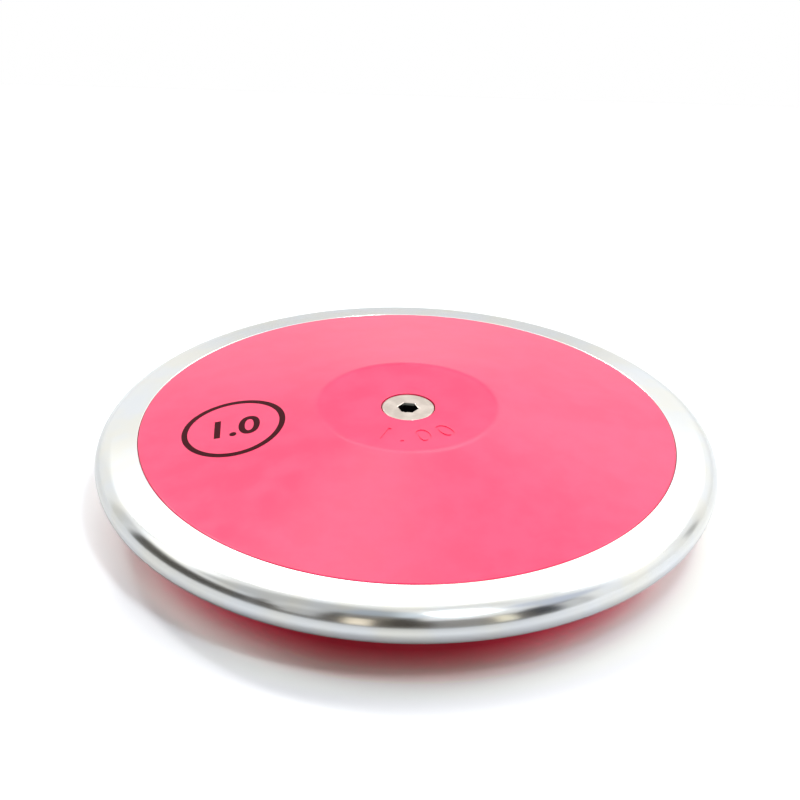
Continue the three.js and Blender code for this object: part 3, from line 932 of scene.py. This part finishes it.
def thread_ridge(radius, towards, start_angle):
    """The thread's ridge on a wall of the given radius, pointing outwards (1) or inwards (-1)."""
    half = THREAD_PITCH / 2 - THREAD_SINK
    foot, tip = -towards * THREAD_SINK, towards * THREAD_DEPTH
    tooth_points = [(foot, -half, 0), (foot, half, 0), (tip, 0, 0)]
    mesh = bpy.data.meshes.new("tooth")
    mesh.from_pydata(tooth_points, [(0, 1), (1, 2), (2, 0)], [])
    return run_tree("thread_ridge", mesh, thread_tree, {
        "Radius": radius, "Pitch": THREAD_PITCH, "Turns": float(THREAD_TURNS), "Bottom": THREAD_BOTTOM,
        "Start angle": start_angle, "Material": bolt_steel})


bolt_corners = [
    (0, BOLT_TIP, 0),
    (thread_root - THREAD_DEPTH, BOLT_TIP, THREAD_SINK),
    (thread_root, BOLT_TIP + THREAD_DEPTH, THREAD_SINK),
    (thread_root, NECK_END, THREAD_SINK),
    (BARREL_RADIUS, NECK_END, SMALL_ROUND),
    *head_corners,
]
bolt = turned("bolt_with_head", rounded_outline(bolt_corners, False), bolt_steel, False, HEAD_STEPS)
socket_cut(bolt)
joined(bolt, thread_ridge(thread_root, 1, math.pi))

nut_bore = THREAD_RADIUS + FIT_GAP
nut_corners = [
    (0, -NUT_BOTTOM, 0),
    (nut_bore, -NUT_BOTTOM, THREAD_SINK),
    (nut_bore, -BARREL_REACH, THREAD_SINK),
    (BARREL_RADIUS, -BARREL_REACH, SMALL_ROUND),
    *head_corners,
]
nut = turned("nut_with_barrel", rounded_outline(nut_corners, False), bolt_steel, False, HEAD_STEPS)
socket_cut(nut)
nut.data.transform(Matrix.Rotation(math.pi, 4, "X"))
joined(nut, thread_ridge(nut_bore, -1, 0.0))
print("bolt faces:", len(bolt.data.polygons))

# %% [markdown]
# ## Printed ring
# On the left of the upper plate a thin ring is pad printed in black, with a plain number in the middle.
# A pad print lies on the taper like a film, so the flat drawing gets its height from the taper's own
# formula. A small tree does that, and the drawing is built with the ink's thickness already in it.

# %% Ink material
INK_SPECK = 0.5 * MM
INK_THICK = "#370610"        # nearly black, and thin enough for the pink to redden it
INK_THIN = "#410812"
INK_SMOOTH = 0.38
INK_MATT = 0.50

ink, tree, place = new_material("pad_printing_ink")
speck = add(tree, "ShaderNodeTexNoise", {"Vector": place, "Scale": 1 / INK_SPECK, "Detail": 2.0})
specked = add(tree, "ShaderNodeMapRange", {0: speck, **SPREAD}, interpolation_type=SOFT)
black = add(tree, "ShaderNodeMix", {0: specked, 6: linear(INK_THICK), 7: linear(INK_THIN)}, data_type="RGBA")
matt = add(tree, "ShaderNodeMapRange", {
    0: speck, **SPREAD, 3: INK_SMOOTH, 4: INK_MATT}, interpolation_type=SOFT)
surface(tree, {"Base Color": black, "Roughness": matt, "Specular IOR Level": 0.04})

# %% Print
PRINT_RADIUS = 50.45 * MM    # from the discus's axis to the ring's centre
PRINT_ANGLE = math.radians(-173.5)
PRINT_TURN = math.radians(1.5)
PRINT_RING_OUTER = 15.3 * MM
PRINT_LINE = 1.75 * MM
PRINT_DIGITS = "1.0"
PRINT_DIGIT_HEIGHT = 9 * MM
PRINT_DIGIT_SWELL = 0.28 * MM
INK_THICKNESS = 0.03 * MM
PRINT_STEPS = 128
PRINT_CUTS = 2               # enough for the number's faces to follow the taper

print_tree, start = new_tree("lay_on_taper", [("Material", "NodeSocketMaterial")])
spot = add(print_tree, "ShaderNodeSeparateXYZ", {0: add(print_tree, "GeometryNodeInputPosition")})
x, y, z = spot.outputs
level_spot = add(print_tree, "ShaderNodeCombineXYZ", {0: x, 1: y})
radius = add(print_tree, "ShaderNodeVectorMath", {0: level_spot}, operation="LENGTH")
past_flat = add(print_tree, "ShaderNodeMath", {0: radius, 1: FLAT_RADIUS}, operation="SUBTRACT")
drop = add(print_tree, "ShaderNodeMath", {0: past_flat, 1: math.tan(TAPER_ANGLE)}, operation="MULTIPLY")
height = add(print_tree, "ShaderNodeMath", {0: HALF_THICKNESS, 1: drop}, operation="SUBTRACT")
above = add(print_tree, "ShaderNodeMath", {0: height, 1: z}, operation="ADD")
laid = add(print_tree, "ShaderNodeCombineXYZ", {0: x, 1: y, 2: above})
moved = add(print_tree, "GeometryNodeSetPosition", {0: start.outputs["Geometry"], "Position": laid})
end_tree(print_tree, start, moved)


def printed(name):
    """The ring and its number as one thin film on the taper."""
    inner = PRINT_RING_OUTER - PRINT_LINE
    section = [(inner, 0), (PRINT_RING_OUTER, 0), (PRINT_RING_OUTER, INK_THICKNESS), (inner, INK_THICKNESS)]
    ring = turned("ring", section, ink, True, PRINT_STEPS)
    number = digit_solid(PRINT_DIGITS, PRINT_DIGIT_HEIGHT, INK_THICKNESS, PRINT_DIGIT_SWELL)
    number.data.transform(Matrix.Translation((0, 0, INK_THICKNESS / 2)))
    work = bmesh.new()
    work.from_mesh(number.data)
    bmesh.ops.triangulate(work, faces=work.faces)
    bmesh.ops.subdivide_edges(work, edges=work.edges, cuts=PRINT_CUTS, use_grid_fill=True)
    work.to_mesh(number.data)
    work.free()
    film = joined(ring, number)
    seen_from_above = Matrix.Diagonal((math.cos(TAPER_ANGLE), 1, 1, 1))
    place = Vector((math.cos(PRINT_ANGLE), math.sin(PRINT_ANGLE), 0)) * PRINT_RADIUS
    film.data.transform(seen_from_above @ Matrix.Rotation(PRINT_TURN, 4, "Z"))
    film.data.transform(Matrix.Translation(place))
    mesh = film.data
    bpy.data.objects.remove(film)
    return run_tree(name, mesh, print_tree, {"Material": ink})


print_film = printed("printed_ring")

# %% [markdown]
# ## Pieces inside
# The core, the washers, the pins and the felt are hidden, but they are part of the discus and keep their
# own shape. Plain turned steel is darker and duller than the plated rim, and pressed felt is a mat of
# short fibres with no gloss at all.

# %% Inner materials
TURNING_RING = 0.4 * MM
TURNING_ALONG = 0.6 * MM
TURNING_DEPTH = 0.02 * MM
OIL_PATCH = 6 * MM
WOOL_FIBRE = 0.4 * MM        # matted bundles, because single fibres are too fine to show
WOOL_DEPTH = 0.2 * MM

core_steel, tree, place = new_material("plain_turned_steel")
rings = add(tree, "ShaderNodeTexNoise", {
    "Vector": ring_place(tree, place, TURNING_ALONG), "Scale": 1 / TURNING_RING, "Detail": 2.0})
oil = add(tree, "ShaderNodeTexNoise", {"Vector": place, "Scale": 1 / OIL_PATCH, "Detail": 2.0})
oiled = add(tree, "ShaderNodeMapRange", {0: oil, **SPREAD}, interpolation_type=SOFT)
grey = add(tree, "ShaderNodeMix", {0: oiled, 6: linear("#9A9C9F"), 7: linear("#B4B4B2")}, data_type="RGBA")
dulled = add(tree, "ShaderNodeMapRange", {0: rings, **SPREAD, 3: 0.32, 4: 0.5}, interpolation_type=SOFT)
bump = add(tree, "ShaderNodeBump", {"Height": rings, "Strength": 0.4, "Distance": TURNING_DEPTH})
surface(tree, {"Base Color": grey, "Metallic": 1.0, "Roughness": dulled, "Normal": bump})

felt, tree, place = new_material("pressed_wool_felt")
fibres = add(tree, "ShaderNodeTexNoise", {"Vector": place, "Scale": 1 / WOOL_FIBRE, "Detail": 4.0})
matted = add(tree, "ShaderNodeMapRange", {0: fibres, **SPREAD}, interpolation_type=SOFT)
wool = add(tree, "ShaderNodeMix", {0: matted, 6: linear("#5E5B58"), 7: linear("#7F7B76")}, data_type="RGBA")
bump = add(tree, "ShaderNodeBump", {"Height": fibres, "Strength": 0.8, "Distance": WOOL_DEPTH})
surface(tree, {"Base Color": wool, "Roughness": 0.95, "Normal": bump, "Sheen Weight": 0.3})

for name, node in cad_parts.items():
    node.data.materials.clear()
    node.data.materials.append(felt if name == "felt_ring" else core_steel)

# %% [markdown]
# ## Everything in its place
# The pieces were made about the middle plane, so each mesh is lifted to where the discus stands on the
# table. Then each one rides on the single body, and any node of the frame that it replaces is hidden.

# %% Attach the pieces
PLACES = [
    (rim, "rim", "rim_zinc_steel"),
    (upper_plate, "upper_side_plate", "plate_plastic"),
    (lower_plate, "lower_side_plate", "plate_plastic"),
    (bolt, "centre_bolt", "bolt_steel"),
    (nut, "barrel_nut", "bolt_steel"),
    (print_film, None, None),
]
for piece, node_name, slot_name in PLACES:
    piece.data.transform(Matrix.Translation((0, 0, MIDDLE_HEIGHT)))
    shaded(piece)
    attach(piece, "root")
    if node_name:
        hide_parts(node_name)
    print(piece.name, "triangles:", sum(len(face.vertices) - 2 for face in piece.data.polygons))
